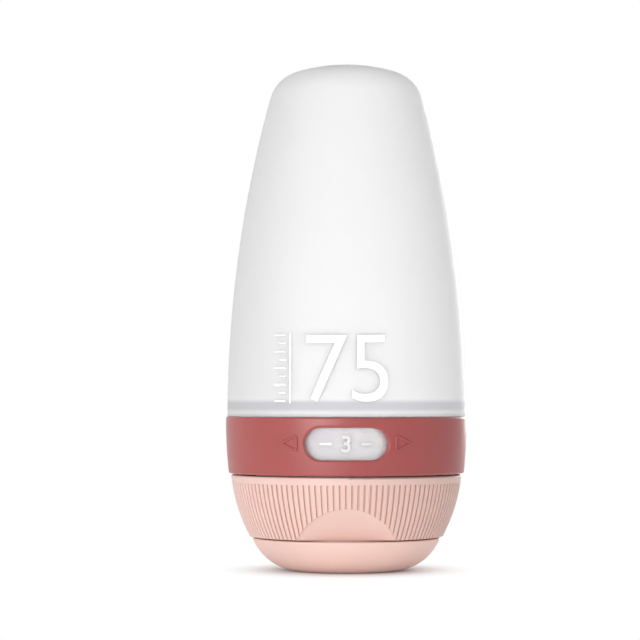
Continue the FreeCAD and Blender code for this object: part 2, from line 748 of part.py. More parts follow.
# Soft stopper pressed over the lid's post, with a tip that enters the nozzle's orifice
def make_lid_plug():
    post_top = "size.lid_wall + size.post_height"
    shoulder = f"{NOZZLE_TIP} - size.plug_gap"
    tip = f"{NOZZLE_TIP} + size.plug_entry"
    return turned_body("lid_plug", [
        ("size.post_radius", "size.lid_wall"),
        ("size.plug_radius", "size.lid_wall"),
        ("size.plug_radius", shoulder),
        ("size.plug_tip_radius", shoulder),
        ("size.plug_tip_radius", tip),
        ("0", tip),
        ("0", post_top),
        ("size.post_radius", post_top),
    ])


pieces = [
    make_bottle_body(),
    make_neck_insert(),
    make_selector_ring(),
    make_screw_cap(),
    make_cap_gasket(),
    make_dispensing_valve(),
    make_valve_retainer(),
    make_flip_lid(),
    make_lid_plug(),
    make_hinge_pin(),
]
doc.recompute()

failed = [item.Name for item in doc.Objects if "Invalid" in item.State or "Error" in item.State]
unsound = [piece.Label for piece in pieces if piece.Shape.isNull() or not piece.Shape.isValid()]
if failed or unsound:
    raise RuntimeError(f"failed features: {failed}, unsound pieces: {unsound}")

os.makedirs("parts", exist_ok=True)
for piece in pieces:
    piece.Shape.exportStep(f"parts/{piece.Label}.step")
    volume = piece.Shape.Volume / 1000
    print(f"{piece.Label}: {len(piece.Shape.Solids)} solid, {volume:.3f} ml")
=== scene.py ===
import math

import bmesh
import bpy
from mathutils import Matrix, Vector


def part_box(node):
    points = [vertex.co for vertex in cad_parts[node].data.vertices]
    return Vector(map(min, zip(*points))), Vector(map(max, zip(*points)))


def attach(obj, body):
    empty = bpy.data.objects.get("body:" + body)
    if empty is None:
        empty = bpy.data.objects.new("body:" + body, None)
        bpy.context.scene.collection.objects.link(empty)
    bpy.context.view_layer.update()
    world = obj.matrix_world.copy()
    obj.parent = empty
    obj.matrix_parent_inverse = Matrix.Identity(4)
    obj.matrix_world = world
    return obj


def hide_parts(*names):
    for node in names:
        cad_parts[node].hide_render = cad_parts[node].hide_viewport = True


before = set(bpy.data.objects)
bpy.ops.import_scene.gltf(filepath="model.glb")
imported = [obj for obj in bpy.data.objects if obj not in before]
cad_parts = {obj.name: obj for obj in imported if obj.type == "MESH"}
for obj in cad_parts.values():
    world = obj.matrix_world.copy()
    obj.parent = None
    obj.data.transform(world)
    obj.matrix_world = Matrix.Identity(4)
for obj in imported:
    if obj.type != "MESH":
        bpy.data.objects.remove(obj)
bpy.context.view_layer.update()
mm = 0.001  # sizes are written in millimetres
# each node's foot and top, in mm
rise = {node: [corner[2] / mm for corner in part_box(node)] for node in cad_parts}


# Shared helpers

def linear(hexCode):
    channels = [int(hexCode[i:i + 2], 16) / 255 for i in (1, 3, 5)]
    return [c / 12.92 if c <= 0.04045 else ((c + 0.055) / 1.055) ** 2.4 for c in channels] + [1.0]


# one node with its settings; an input given as a socket is linked, any other value is set on it
def addNode(tree, kind, inputs=None, **settings):
    node = tree.nodes.new("ShaderNode" + kind)
    for name, setting in settings.items():
        setattr(node, name, setting)
    for name, given in (inputs or {}).items():
        if isinstance(given, bpy.types.NodeSocket):
            tree.links.new(given, node.inputs[name])
        else:
            node.inputs[name].default_value = given
    return node


def emptyMaterial(name):
    material = bpy.data.materials.new(name)
    material.use_nodes = True
    material.node_tree.nodes.clear()
    return material, material.node_tree


def arc(centre, radius, startDegrees, endDegrees, steps):
    points = []
    for i in range(steps + 1):
        angle = math.radians(startDegrees + (endDegrees - startDegrees) * i / steps)
        points.append((centre[0] + radius * math.cos(angle), centre[1] + radius * math.sin(angle)))
    return points


# a straight path of (across, up) in equal runs, so that it can bend round a surface
def straight(start, end, runs):
    along = Vector(end) - Vector(start)
    return [Vector(start) + along * i / runs for i in range(runs + 1)]


weldReach = 0.004  # points nearer than this many mm are one
sliverReach = 0.0005  # faces thinner than this many mm are taken out


# a closed outline of (across, up) with every corner rounded
def rounded(corners, radius, steps=4):
    points = []
    for i, corner in enumerate(corners):
        here = Vector(corner)
        back = Vector(corners[i - 1]) - here
        ahead = Vector(corners[(i + 1) % len(corners)]) - here
        reach = min(radius, back.length / 2, ahead.length / 2)
        first = here + back.normalized() * reach
        last = here + ahead.normalized() * reach
        for j in range(steps + 1):
            share = j / steps
            bend = first * (1 - share) ** 2 + here * 2 * share * (1 - share) + last * share ** 2
            if not points or (bend - points[-1]).length > weldReach:
                points.append(bend)
    return points


# a place on a round surface that faces front: the angle in radians is counted to the right
def onRound(radius, angle, height):
    return Vector((radius * math.sin(angle), -radius * math.cos(angle), height)) * mm


# joins rings of points into a skin; a ring of one point is a pole
def addSkin(build, rings, closed):
    rings = [[build.verts.new(point) for point in ring] for ring in rings]
    pairs = list(zip(rings, rings[1:]))
    if closed:
        pairs.append((rings[-1], rings[0]))
    for lower, upper in pairs:
        count = max(len(lower), len(upper))
        if count == 1:
            continue
        for i in range(count):
            j = (i + 1) % count
            corners = [lower[i % len(lower)], lower[j % len(lower)]]
            corners += [upper[j % len(upper)], upper[i % len(upper)]]
            build.faces.new(list(dict.fromkeys(corners)))
    return rings


# spins a closed outline of (radius, height) about the upright axis
def lathe(outline, steps):
    rings = []
    for radius, height in outline:
        count = 1 if radius < 1e-6 else steps
        rings.append([onRound(radius, 2 * math.pi * i / steps, height) for i in range(count)])
    build = bmesh.new()
    addSkin(build, rings, True)
    bmesh.ops.recalc_face_normals(build, faces=build.faces)
    return build


mitreLimit = 0.35  # keeps the joint at a sharp corner of a ridge from running far out


# a raised line along a path of (across, up) on a round surface; radiusAt gives its radius at a height
def addRidge(build, path, look, radiusAt, turn=0.0, closed=False):
    half, proudest, edge, sunk = look["width"] / 2, look["rise"], look["edge"], look["sunk"]
    section = [(-half, -sunk), (-half, proudest - edge), (-half + edge, proudest),
               (half - edge, proudest), (half, proudest - edge), (half, -sunk)]
    points = [Vector(point) for point in path]
    last = len(points) - 1
    rings = []
    for i, point in enumerate(points):
        before = point - points[i - 1] if closed or i else points[1] - points[0]
        after = points[(i + 1) % len(points)] - point if closed or i < last else before
        before.normalize()
        after.normalize()
        mitre = before.orthogonal() + after.orthogonal()
        mitre /= max(1 + before.dot(after), mitreLimit)
        ring = []
        for side, proud in section:
            spot = point + mitre * side
            radius = radiusAt(spot.y)
            ring.append(onRound(radius + proud, turn + spot.x / radius, spot.y))
        rings.append(ring)
    rings = addSkin(build, rings, closed)
    if not closed:
        build.faces.new(rings[0])
        build.faces.new(rings[-1])


# raised lettering in the plain built-in face, bent round a surface; across and up give its middle
def addLettering(build, words, look, radiusAt, across, up, turn=0.0):
    letters = bpy.data.curves.new("letters", "FONT")
    letters.body = words
    letters.size = look["size"]
    letters.offset = look["weight"]
    letters.space_character = look["spacing"]
    letters.extrude = (look["rise"] + look["sunk"]) / 2 - look["edge"]
    letters.bevel_depth = look["edge"]
    letters.bevel_resolution = 1
    letters.resolution_u = look["steps"]
    holder = bpy.data.objects.new("letters", letters)
    flat = bpy.data.meshes.new_from_object(holder)
    part = bmesh.new()
    part.from_mesh(flat)
    bmesh.ops.remove_doubles(part, verts=part.verts, dist=weldReach)
    middle = []
    for axis in (0, 1):
        places = [vert.co[axis] for vert in part.verts]
        middle.append((min(places) + max(places)) / 2)
    bmesh.ops.translate(part, verts=part.verts, vec=(-middle[0], -middle[1], 0))
    # cut into upright strips, so that the flat faces can bend
    cuts = int(max(vert.co.x for vert in part.verts) / look["strip"])
    for i in range(-cuts, cuts + 1):
        everything = part.verts[:] + part.edges[:] + part.faces[:]
        cutPlace = (i * look["strip"], 0, 0)
        bmesh.ops.bisect_plane(part, geom=everything, plane_co=cutPlace, plane_no=(1, 0, 0))
    bmesh.ops.dissolve_degenerate(part, dist=sliverReach, edges=part.edges)
    for vert in part.verts:
        proud = vert.co.z + (look["rise"] - look["sunk"]) / 2
        height = up + vert.co.y
        radius = radiusAt(height)
        vert.co = onRound(radius + proud, turn + (across + vert.co.x) / radius, height)
    part.to_mesh(flat)
    part.free()
    build.from_mesh(flat)
    bpy.data.objects.remove(holder)
    bpy.data.curves.remove(letters)
    bpy.data.meshes.remove(flat)


def finishPiece(name, build, material, body, nodes=(), sharpDegrees=35):
    mesh = bpy.data.meshes.new(name)
    build.to_mesh(mesh)
    build.free()
    mesh.shade_smooth()
    mesh.set_sharp_from_angle(angle=math.radians(sharpDegrees))
    mesh.materials.append(material)
    piece = bpy.data.objects.new(name, mesh)
    bpy.context.scene.collection.objects.link(piece)
    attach(piece, body)
    if nodes:
        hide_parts(*nodes)
    return piece


# Materials

siliconeScatter = (1.0, 0.97, 0.94)  # red light goes a little further in than blue

# Silicone rubber, moulded in a blasted mould: milky, lets light through, matt with a fine grain. Its
# colour carries painted shade: a grey band at the shoulder over the neck, where less light comes through
# the thickening wall, and grey over the sleeve round it, which lies in the shade of the ring
siliconeLook = {
    "colour": "#fcfbfa",
    "cloud": "#f7f6f6",
    "cloudSize": 14.0,
    # painted shade: the grey laid on in a band at the shoulder and over the sleeve, with where it lies
    "shoulder": "#d4d4d8",
    "shadeBandLow": 33.6,
    "shadeBandHigh": 34.5,
    "shadeBandFade": 1.1,
    "sleeveShadeTop": 31.9,
    "sleeveShadeFade": 0.1,
    "sleeveShadeShare": 0.6,  # share of the shoulder band's painted shade that the sleeve has
    "grainSize": 0.5,  # drawn coarser than the real blasting, which is too fine to show
    "grainDepth": 0.012,
    "roughness": (0.46, 0.6),
    "ior": 1.41,
    "specular": 0.3,
    "transmission": 0.2,
    "scatterDepth": 2.5,
}


def makeFrostedSilicone():
    look = siliconeLook
    material, tree = emptyMaterial("frostedSilicone")
    place = addNode(tree, "TexCoord").outputs["Object"]
    cloud = addNode(tree, "TexNoise", {
        "Vector": place, "Scale": 1 / (look["cloudSize"] * mm), "Detail": 3.0})
    tint = addNode(tree, "Mix", {"Factor": cloud.outputs["Fac"]}, data_type="RGBA")
    tint.inputs[6].default_value = linear(look["colour"])
    tint.inputs[7].default_value = linear(look["cloud"])
    # the painted shade is a soft grey band at the shoulder, and all of the sleeve below it, in the
    # ring's shade
    height = addNode(tree, "SeparateXYZ", {"Vector": place}).outputs["Z"]
    low, high, fade = look["shadeBandLow"], look["shadeBandHigh"], look["shadeBandFade"]
    above = addNode(tree, "MapRange", {
        "Value": height, "From Min": (low - fade) * mm, "From Max": low * mm,
    }, interpolation_type="SMOOTHSTEP")
    below = addNode(tree, "MapRange", {
        "Value": height, "From Min": (high + fade) * mm, "From Max": high * mm,
    }, interpolation_type="SMOOTHSTEP")
    shoulderShadeMask = addNode(tree, "Math", {
        0: above.outputs["Result"], 1: below.outputs["Result"]}, operation="MULTIPLY")
    sleeve = addNode(tree, "MapRange", {
        "Value": height,
        "From Min": look["sleeveShadeTop"] * mm,
        "From Max": (look["sleeveShadeTop"] - look["sleeveShadeFade"]) * mm,
        "To Max": look["sleeveShadeShare"],
    })
    paintedShadeMask = addNode(tree, "Math", {0: shoulderShadeMask.outputs[0], 1: sleeve.outputs["Result"]}, operation="MAXIMUM")
    # mixes the painted shade's grey into the milky colour
    colour = addNode(tree, "Mix", {"Factor": paintedShadeMask.outputs[0]}, data_type="RGBA")
    tree.links.new(tint.outputs[2], colour.inputs[6])
    colour.inputs[7].default_value = linear(look["shoulder"])
    grain = addNode(tree, "TexNoise", {
        "Vector": place, "Scale": 1 / (look["grainSize"] * mm), "Detail": 4.0})
    least, most = look["roughness"]
    rough = addNode(tree, "MapRange", {"Value": grain.outputs["Fac"], "To Min": least, "To Max": most})
    bump = addNode(tree, "Bump", {"Height": grain.outputs["Fac"], "Distance": look["grainDepth"] * mm})
    surface = addNode(tree, "BsdfPrincipled", {
        "Base Color": colour.outputs[2],
        "Roughness": rough.outputs["Result"],
        "Normal": bump.outputs["Normal"],
        "IOR": look["ior"],
        "Specular IOR Level": look["specular"],
        "Transmission Weight": look["transmission"],
        "Subsurface Weight": 1.0,
        "Subsurface Radius": siliconeScatter,
        "Subsurface Scale": look["scatterDepth"] * mm,
    })
    addNode(tree, "OutputMaterial", {"Surface": surface.outputs["BSDF"]})
    return material


frostedSilicone = makeFrostedSilicone()

# Silicone rubber from a polished part of the mould: the same milk, brighter and with a wet gloss
polishedLook = {
    "colour": "#f8f8f8",
    "smear": "#f3f3f3",
    "smearSize": 3.0,
    "roughness": (0.14, 0.24),
    "ior": 1.41,
    "scatterDepth": 0.15,
}
# Silicone rubber for seals, moulded against a plain tool: opaque white, matt
sealLook = {
    "colour": "#efeeec",
    "smear": "#e6e5e3",
    "smearSize": 2.0,
    "roughness": (0.42, 0.58),
    "ior": 1.41,
    "scatterDepth": 0.8,
}


def makePlainSilicone(name, look):
    material, tree = emptyMaterial(name)
    place = addNode(tree, "TexCoord").outputs["Object"]
    smear = addNode(tree, "TexNoise", {
        "Vector": place, "Scale": 1 / (look["smearSize"] * mm), "Detail": 4.0})
    tint = addNode(tree, "Mix", {"Factor": smear.outputs["Fac"]}, data_type="RGBA")
    tint.inputs[6].default_value = linear(look["colour"])
    tint.inputs[7].default_value = linear(look["smear"])
    least, most = look["roughness"]
    rough = addNode(tree, "MapRange", {"Value": smear.outputs["Fac"], "To Min": least, "To Max": most})
    surface = addNode(tree, "BsdfPrincipled", {
        "Base Color": tint.outputs[2],
        "Roughness": rough.outputs["Result"],
        "IOR": look["ior"],
        "Subsurface Weight": 1.0,
        "Subsurface Radius": siliconeScatter,
        "Subsurface Scale": look["scatterDepth"] * mm,
    })
    addNode(tree, "OutputMaterial", {"Surface": surface.outputs["BSDF"]})
    return material


polishedSilicone = makePlainSilicone("polishedSilicone", polishedLook)
sealSilicone = makePlainSilicone("sealSilicone", sealLook)

# Polypropylene, injection moulded in a spark-eroded mould: solid colour, satin, with a fine orange peel
plasticLooks = {
    "rosePolypropylene": {"colour": "#b35957", "deep": "#ab5351", "roughness": (0.32, 0.42)},
    "blushPolypropylene": {"colour": "#f4d5cb", "deep": "#f1cdc2", "roughness": (0.4, 0.52)},
    "whitePolypropylene": {"colour": "#f1f0ee", "deep": "#e8e7e5", "roughness": (0.36, 0.48)},
}
plasticGrain = {
    "cloudSize": 9.0,
    "peelSize": 0.32,
    "peelDepth": 0.008,
    "edgeRadius": 0.16,  # moulded edges are never sharp
    "ior": 1.49,
    "specular": 0.45,
    "scatter": 0.2,
    "scatterColour": (1.0, 0.5, 0.35),
    "scatterDepth": 0.3,
}


def makePlastic(name):
    look = plasticLooks[name]
    material, tree = emptyMaterial(name)
    place = addNode(tree, "TexCoord").outputs["Object"]
    cloud = addNode(tree, "TexNoise", {
        "Vector": place, "Scale": 1 / (plasticGrain["cloudSize"] * mm), "Detail": 3.0})
    tint = addNode(tree, "Mix", {"Factor": cloud.outputs["Fac"]}, data_type="RGBA")
    tint.inputs[6].default_value = linear(look["colour"])
    tint.inputs[7].default_value = linear(look["deep"])
    peel = addNode(tree, "TexNoise", {
        "Vector": place, "Scale": 1 / (plasticGrain["peelSize"] * mm), "Detail": 3.0})
    least, most = look["roughness"]
    rough = addNode(tree, "MapRange", {"Value": peel.outputs["Fac"], "To Min": least, "To Max": most})
    edge = addNode(tree, "Bevel", {"Radius": plasticGrain["edgeRadius"] * mm})
    bump = addNode(tree, "Bump", {
        "Height": peel.outputs["Fac"],
        "Distance": plasticGrain["peelDepth"] * mm,
        "Normal": edge.outputs["Normal"],
    })
    surface = addNode(tree, "BsdfPrincipled", {
        "Base Color": tint.outputs[2],
        "Roughness": rough.outputs["Result"],
        "Normal": bump.outputs["Normal"],
        "IOR": plasticGrain["ior"],
        "Specular IOR Level": plasticGrain["specular"],
        "Subsurface Weight": plasticGrain["scatter"],
        "Subsurface Radius": plasticGrain["scatterColour"],
        "Subsurface Scale": plasticGrain["scatterDepth"] * mm,
    })
    addNode(tree, "OutputMaterial", {"Surface": surface.outputs["BSDF"]})
    return material


plastics = {name: makePlastic(name) for name in plasticLooks}

# Stainless steel wire, drawn through a die: bright metal with fine lines along its length
steelLook = {
    "colour": "#c9c8c6",
    "lines": "#aeadac",
    "lineSize": 0.12,
    "lineStretch": 20.0,  # how many times longer than wide a line is
    "roughness": (0.22, 0.38),
}


def makeSteel():
    look = steelLook
    material, tree = emptyMaterial("drawnSteel")
    place = addNode(tree, "TexCoord").outputs["Object"]
    drawn = addNode(tree, "Mapping", {"Vector": place, "Scale": (1 / look["lineStretch"], 1.0, 1.0)})
    lines = addNode(tree, "TexNoise", {
        "Vector": drawn.outputs["Vector"], "Scale": 1 / (look["lineSize"] * mm), "Detail": 3.0})
    tint = addNode(tree, "Mix", {"Factor": lines.outputs["Fac"]}, data_type="RGBA")
    tint.inputs[6].default_value = linear(look["colour"])
    tint.inputs[7].default_value = linear(look["lines"])
    least, most = look["roughness"]
    rough = addNode(tree, "MapRange", {"Value": lines.outputs["Fac"], "To Min": least, "To Max": most})
    surface = addNode(tree, "BsdfPrincipled", {
        "Base Color": tint.outputs[2], "Roughness": rough.outputs["Result"], "Metallic": 1.0})
    addNode(tree, "OutputMaterial", {"Surface": surface.outputs["BSDF"]})
    return material


# the rigid pieces keep their own shapes and only get their finish
rigidFinishes = {
    "selector_ring": plastics["rosePolypropylene"],
    "screw_cap": plastics["blushPolypropylene"],
    "flip_lid": plastics["blushPolypropylene"],
    "neck_insert": plastics["whitePolypropylene"],
    "valve_retainer": plastics["whitePolypropylene"],
    "hinge_pin": makeSteel(),
}
for node, material in rigidFinishes.items():
    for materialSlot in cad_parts[node].material_slots:
        materialSlot.material = material
print("materials made")

# Silicone bottle

bottle = {
    "foot": rise["selector_ring"][1] + 0.04,  # just clear of the ring
    "top": rise["bottle_body"][1],
    "radius": 24.7,
    "wall": 1.8,
    "flare": 252.0,
    "corner": 7.5,
    "crown": 36.0,
    "lip": 0.06,
    "shoulder": 2.6,
    "slope": 2.0,
    "sleeveRadius": 23.2,
    "sleeveBore": 21.4,
    "sleeveFoot": rise["bottle_body"][0],
    "sleeveFillet": 0.15,
    "grooveRise": 5.6,
    "grooveHalf": 0.6,
    "grooveRadius": 0.7,
    "sharpDegrees": 50,
}
# straight runs that each round stretch is drawn with
bottleSteps = {"turn": 192, "side": 44, "corner": 14, "crown": 16, "lip": 8, "fillet": 4, "groove": 6}


# side, corner and crown as tangent arcs, at a depth under the outer skin, from a height up to the axis
def bottleShell(depth, startHeight):
    side = Vector((bottle["radius"] - bottle["flare"], bottle["foot"] + bottle["lip"]))
    crown = Vector((0, bottle["top"] - bottle["crown"]))
    sideReach = bottle["flare"] - bottle["corner"]
    crownReach = bottle["crown"] - bottle["corner"]
    between = crown - side
    along = (sideReach ** 2 - crownReach ** 2 + between.length_squared) / (2 * between.length)
    aside = math.sqrt(sideReach ** 2 - along ** 2)
    ahead = between.normalized()
    corner = side + ahead * along + Vector((-ahead.y, ahead.x)) * aside
    sideRadius = bottle["flare"] - depth
    startAngle = math.degrees(math.asin((startHeight - side.y) / sideRadius))
    cornerStart = math.degrees(math.atan2(corner.y - side.y, corner.x - side.x))
    cornerEnd = math.degrees(math.atan2(corner.y - crown.y, corner.x - crown.x))
    points = arc(side, sideRadius, startAngle, cornerStart, bottleSteps["side"])
    points += arc(corner, bottle["corner"] - depth, cornerStart, cornerEnd, bottleSteps["corner"])[1:]
    points += arc(crown, bottle["crown"] - depth, cornerEnd, 90, bottleSteps["crown"])[1:]
    points[-1] = (0, points[-1][1])
    return points


def bottleRadiusAt(height):
    up = height - bottle["foot"] - bottle["lip"]
    return bottle["radius"] - bottle["flare"] + math.sqrt(bottle["flare"] ** 2 - up ** 2)


def bottleOutline():
    foot, lip, fillet = bottle["foot"], bottle["lip"], bottle["sleeveFillet"]
    sleeveFoot, sleeveBore = bottle["sleeveFoot"], bottle["sleeveBore"]
    grooveInset = math.sqrt(bottle["grooveRadius"] ** 2 - bottle["grooveHalf"] ** 2)
    grooveCentre = (sleeveBore - grooveInset, sleeveFoot + bottle["grooveRise"])
    opening = math.degrees(math.asin(bottle["grooveHalf"] / bottle["grooveRadius"]))
    filletCentre = (bottle["sleeveRadius"] + fillet, foot - fillet)
    lipCentre = (bottle["radius"] - lip, foot + lip)
    outline = [(bottle["sleeveRadius"], sleeveFoot)]
    outline += arc(filletCentre, fillet, 180, 90, bottleSteps["fillet"])
    outline += arc(lipCentre, lip, -90, 0, bottleSteps["lip"])
    outline += bottleShell(0, foot + lip)[1:]
    outline += bottleShell(bottle["wall"], foot + bottle["shoulder"] + bottle["slope"])[::-1]
    outline.append((sleeveBore, foot + bottle["shoulder"]))
    outline += arc(grooveCentre, bottle["grooveRadius"], opening, -opening, bottleSteps["groove"])
    outline.append((sleeveBore, sleeveFoot))
    return outline


finishPiece("siliconeBottle", lathe(bottleOutline(), bottleSteps["turn"]), frostedSilicone, "bottle",
            ["bottle_body"], bottle["sharpDegrees"])
print("bottle made")

# Raised number on the bottle
sizeMark = {
    "number": "75",
    "across": 0.2,
    "up": 41.5,
    "size": 19.6,
    "weight": -0.22,
    "spacing": 0.94,
    "rise": 0.28,
    "edge": 0.1,
    "sunk": 0.3,
    "steps": 8,
    "strip": 0.7,
}


def makeNumber():
    build = bmesh.new()
    addLettering(build, sizeMark["number"], sizeMark, bottleRadiusAt, sizeMark["across"], sizeMark["up"])
    finishPiece("sizeNumber", build, polishedSilicone, "bottle")


makeNumber()

# Raised rule with scale ticks, beside the number
scaleRule = {
    "across": -11.6,
    "foot": 34.6,
    "top": 48.6,
    "ruleRuns": 20,
    "ticks": 9,
    "tickStart": 1.0,
    "shortTick": 1.4,
    "longTick": 2.6,
    "tickRuns": 4,
    "line": {"width": 0.42, "rise": 0.2, "edge": 0.1, "sunk": 0.3},
}


def makeRule():
    across, foot, top, line = (scaleRule[name] for name in ("across", "foot", "top", "line"))
    build = bmesh.new()
    upright = straight((across, foot), (across, top), scaleRule["ruleRuns"])
    addRidge(build, upright, line, bottleRadiusAt)
    start = across - scaleRule["tickStart"]
    lowest = foot + line["width"]
    highest = top - line["width"]
    for i in range(scaleRule["ticks"]):
        up = lowest + (highest - lowest) * i / (scaleRule["ticks"] - 1)
        reach = scaleRule["shortTick"] if i % 2 else scaleRule["longTick"]
        tick = straight((start, up), (start - reach, up), scaleRule["tickRuns"])
        addRidge(build, tick, line, bottleRadiusAt)
    finishPiece("scaleRule", build, polishedSilicone, "bottle")


makeRule()

# Dial on the sleeve behind the ring's window: plain numbers, each between two dashes
dial = {
    "numbers": 6,
    "front": 3,  # the number that shows in the window at rest
    "up": 26.5,
    "size": 4.7,
    "weight": 0.07,
    "spacing": 1.0,
    "rise": 0.13,
    "edge": 0.05,
    "sunk": 0.2,
    "steps": 6,
    "strip": 0.6,
    "dashStart": 2.9,
    "dashLength": 2.4,
    "dashRuns": 4,
    "dash": {"width": 0.6, "rise": 0.13, "edge": 0.05, "sunk": 0.2},
}


def sleeveRadiusAt(height):
    return bottle["sleeveRadius"]


def makeDial():
    build = bmesh.new()
    up, near = dial["up"], dial["dashStart"]
    far = near + dial["dashLength"]
    for i in range(dial["numbers"]):
        turn = 2 * math.pi * (i + 1 - dial["front"]) / dial["numbers"]
        addLettering(build, str(i + 1), dial, sleeveRadiusAt, 0, up, turn)
        for side in (-1, 1):
            dash = straight((side * near, up), (side * far, up), dial["dashRuns"])
            addRidge(build, dash, dial["dash"], sleeveRadiusAt, turn)
    finishPiece("dialNumbers", build, polishedSilicone, "bottle")


makeDial()

# Arrow outlines raised on the ring, one each side of its window
ringWall = {"foot": 20.5, "top": 31.4, "footRadius": 24.45, "topRadius": 25.0, "belly": 96.0}
arrow = {
    "base": 10.2,
    "apex": 13.7,
    "up": 26.6,
    "half": 1.55,
    "corner": 0.7,
    "line": {"width": 0.56, "rise": 0.28, "edge": 0.12, "sunk": 0.2},
}


def ringRadiusAt(height):
    start = Vector((ringWall["footRadius"], ringWall["foot"]))
    end = Vector((ringWall["topRadius"], ringWall["top"]))
    half = (end - start) / 2
    inward = half.orthogonal().normalized() * math.sqrt(ringWall["belly"] ** 2 - half.length_squared)
    centre = start + half + inward
    return centre.x + math.sqrt(ringWall["belly"] ** 2 - (height - centre.y) ** 2)


def makeArrows():
    build = bmesh.new()
    base, apex, up, half = (arrow[name] for name in ("base", "apex", "up", "half"))
    for side in (-1, 1):
        corners = [(side * base, up - half), (side * apex, up), (side * base, up + half)]
        addRidge(build, rounded(corners, arrow["corner"]), arrow["line"], ringRadiusAt, closed=True)
    bmesh.ops.recalc_face_normals(build, faces=build.faces)
    finishPiece("ringArrows", build, plastics["rosePolypropylene"], "selector")


makeArrows()
print("marks, dial and arrows made")

# Two-start screw thread, right handed, raised on the neck and inside the cap
thread = {
    "lead": 6.0,
    "starts": 2,
    "depth": 1.05,
    "footHalf": 0.72,
    "crestHalf": 0.34,
    "sunk": 0.2,
    "runOut": 40.0,  # degrees over which each end rises from the wall
    "neckRadius": 15.5,
    "capRadius": 16.9,
    "neckEndRoom": 1.6,
    "ringRoom": 1.2,
    "turnSteps": 96,
}


def addThread(build, radius, outward, foot, top, phase):
    footHalf, crestHalf = thread["footHalf"], thread["crestHalf"]
    depth, sunk = thread["depth"], thread["sunk"]
    section = [(-footHalf, -sunk), (-footHalf, 0), (-crestHalf, depth),
               (crestHalf, depth), (footHalf, 0), (footHalf, -sunk)]
    turns = (top - foot) / thread["lead"]
    steps = round(turns * thread["turnSteps"])
    fadeSteps = thread["runOut"] / 360 * thread["turnSteps"]
    for start in range(thread["starts"]):
        rings = []
        for i in range(steps + 1):
            angle = phase + 2 * math.pi * (start / thread["starts"] + turns * i / steps)
            height = foot + (top - foot) * i / steps
            grown = min(1.0, i / fadeSteps, (steps - i) / fadeSteps)
            ring = []
            for along, proud in section:
                if proud > 0:  # the crest sinks into the wall at each end
                    proud = proud * grown - sunk * (1 - grown)
                ring.append(onRound(radius + outward * proud, angle, height + along))
            rings.append(ring)
        rings = addSkin(build, rings, False)
        build.faces.new(rings[0])
        build.faces.new(rings[-1])


def makeThread(name, radius, outward, phase, material, body):
    foot = rise["neck_insert"][0] + thread["neckEndRoom"]
    top = rise["selector_ring"][0] - thread["ringRoom"]
    build = bmesh.new()
    addThread(build, radius, outward, foot, top, phase)
    bmesh.ops.recalc_face_normals(build, faces=build.faces)
    finishPiece(name, build, material, body)


halfPitch = math.pi / thread["starts"]  # puts the cap's ridges midway between the neck's
makeThread("neckThread", thread["neckRadius"], 1, 0.0, plastics["whitePolypropylene"],
           "bottle")
makeThread("capThread", thread["capRadius"], -1, halfPitch, plastics["blushPolypropylene"],
           "cap")
print("threads made")

# Soft seals inside

sealSteps = 96  # straight runs round each seal

# Gasket with two sealing beads
gasket = {
    "bore": 12.8,
    "rim": 16.6,
    "beads": (14.1, 15.3),
    "beadWidth": 0.5,
    "beadRise": 0.25,
    "edge": 0.3,
}


def makeGasket():
    foot, top = rise["cap_gasket"]
    low = top - gasket["beadRise"]
    half = gasket["beadWidth"] / 2
    corners = [(gasket["bore"], foot), (gasket["rim"], foot), (gasket["rim"], low)]
    for bead in reversed(gasket["beads"]):
        corners += [(bead + half, low), (bead, top), (bead - half, low)]
    corners.append((gasket["bore"], low))
    outline = rounded(corners, gasket["edge"])
    finishPiece("capGasket", lathe(outline, sealSteps), sealSilicone, "seal",
                ["cap_gasket"])


makeGasket()

# Valve whose dished head has a cross slit
valve = {
    "skirt": 3.45,
    "flange": 6.45,
    "flangeHeight": 1.3,
    "wall": 0.7,
    "dish": 0.4,
    "edge": 0.2,
    "slitLength": 3.6,
    "slitWidth": 0.14,
}


def valveOutline():
    foot, top = rise["dispensing_valve"]
    skirt, flange, wall = valve["skirt"], valve["flange"], valve["wall"]
    seat = top - valve["flangeHeight"]
    bore = skirt - wall
    corners = [(skirt, foot), (skirt, seat), (flange, seat), (flange, top)]
    corners += [(bore, top), (bore, foot + wall)]
    dish = foot + valve["dish"]
    return [(0, dish)] + rounded(corners, valve["edge"]) + [(0, dish + wall)]


def makeSlits():
    foot, top = rise["dispensing_valve"]
    length, width = valve["slitLength"], valve["slitWidth"]
    blades = bmesh.new()
    for across, along in ((length, width), (width, length)):
        blade = bmesh.ops.create_cube(blades, size=1.0)["verts"]
        bmesh.ops.scale(blades, verts=blade, vec=Vector((across, along, 2 * (top - foot))) * mm)
        bmesh.ops.translate(blades, verts=blade, vec=Vector((0, 0, foot)) * mm)
    mesh = bpy.data.meshes.new("slits")
    blades.to_mesh(mesh)
    blades.free()
    knife = bpy.data.objects.new("slits", mesh)
    bpy.context.scene.collection.objects.link(knife)
    return knife


def makeValve():
    piece = finishPiece("slitValve", lathe(valveOutline(), sealSteps), sealSilicone, "cap",
                        ["dispensing_valve"])
    knife = makeSlits()
    cut = piece.modifiers.new("slits", "BOOLEAN")
    cut.object = knife
    cut.use_self = True
    whole, slits = piece.data, knife.data
    evaluated = piece.evaluated_get(bpy.context.evaluated_depsgraph_get())
    piece.data = bpy.data.meshes.new_from_object(evaluated)
    piece.modifiers.clear()
    bpy.data.objects.remove(knife)
    bpy.data.meshes.remove(slits)
    bpy.data.meshes.remove(whole)


makeValve()

# Stopper on the lid's post, with a tapered tip for the nozzle
stopper = {
    "post": 1.5,
    "postHeight": 1.4,
    "radius": 3.4,
    "tip": 2.2,
    "tipTaper": 0.25,
    "tipRise": 0.6,
    "edge": 0.3,
}


